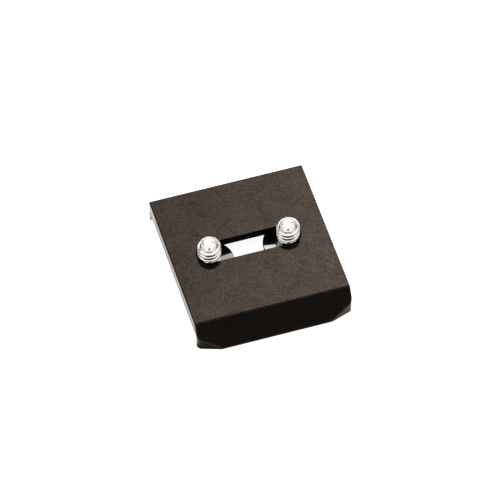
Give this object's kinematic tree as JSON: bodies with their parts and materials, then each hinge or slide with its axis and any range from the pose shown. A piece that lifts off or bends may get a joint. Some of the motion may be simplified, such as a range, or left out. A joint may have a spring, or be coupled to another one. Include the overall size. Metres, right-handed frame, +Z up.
{
  "type": "tripod quick release plate",
  "caption": "Square black camera plate with a leaning clamping flank, a back lip and a long slot in which dome-ended camera screws slide and turn on dished washers.",
  "frame": {"origin": "on the table, under the middle of the plate's outline, front rail included", "axes": "+X along the slot to the right, +Y to the back lip, +Z up out of the camera face"},
  "size_m": [0.043, 0.0472, 0.0128],
  "materials": {
    "black_anodised": "fine blasted, black anodised, satin",
    "polished_steel": "polished, plated",
    "spring_steel": "smooth, burnished"
  },
  "bodies": {
    "plate": {"plate_body": "black_anodised"},
    "left_carriage": {"left_washer": "spring_steel"},
    "left_screw": {"left_camera_screw": "polished_steel"},
    "right_carriage": {"right_washer": "spring_steel"},
    "right_screw": {"right_camera_screw": "polished_steel"}
  },
  "joints": [
    {"name": "left_slide", "type": "slide", "parent": "plate", "child": "left_carriage", "axis": [1, 0, 0], "range_m": [-0.0003, 0.0041]},
    {"name": "left_turn", "type": "hinge", "parent": "left_carriage", "child": "left_screw", "pos_m": [-0.011, 0.0023, 0], "axis": [0, 0, 1], "continuous": true},
    {"name": "right_slide", "type": "slide", "parent": "plate", "child": "right_carriage", "axis": [-1, 0, 0], "range_m": [-0.0003, 0.0041]},
    {"name": "right_turn", "type": "hinge", "parent": "right_carriage", "child": "right_screw", "pos_m": [0.011, 0.0023, 0], "axis": [0, 0, 1], "continuous": true}
  ]
}
